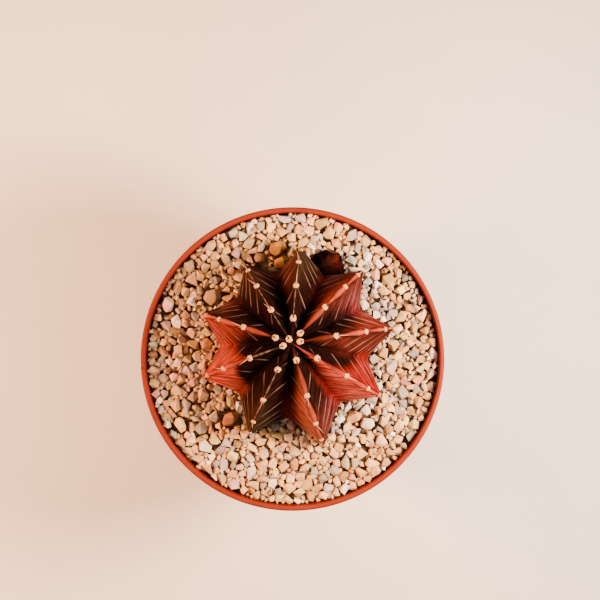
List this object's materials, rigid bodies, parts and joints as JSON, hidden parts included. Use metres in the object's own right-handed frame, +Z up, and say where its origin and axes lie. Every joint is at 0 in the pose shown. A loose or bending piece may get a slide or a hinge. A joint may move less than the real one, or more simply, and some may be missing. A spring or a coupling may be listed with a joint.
{
  "type": "potted chin cactus",
  "caption": "Small ribbed chin cactus with woolly areoles and short spines, rooted in a round plastic pot of potting mix topped with stone chips.",
  "frame": {"origin": "centre of the pot's underside, on the surface that the pot stands on", "axes": "+Z up along the pot's axis; +Y towards the side with the small offset, seen from above as the top of the view; +X to the right of that view"},
  "size_m": [0.085, 0.085, 0.0964],
  "materials": {
    "pot_plastic": "satin",
    "potting_mix": "matte",
    "stone_chips": "matte",
    "cactus_skin": "satin",
    "areole_wool": "matte",
    "spine": "satin",
    "ochre_stone": "matte",
    "tan_stone": "matte",
    "brown_stone": "matte",
    "pink_stone": "matte",
    "yellow_stone": "matte",
    "pale_stone": "matte"
  },
  "bodies": {
    "root": {"pot": "pot_plastic", "soil": "potting_mix", "gravel": "stone_chips", "cactus": "cactus_skin", "ochre_stone_large": "ochre_stone", "ochre_stone_small": "ochre_stone", "tan_pebble": "tan_stone", "tan_slab": "tan_stone", "brown_stone": "brown_stone", "pink_pebble": "pink_stone", "yellow_stone": "yellow_stone", "pale_pebble": "pale_stone"}
  },
  "joints": []
}
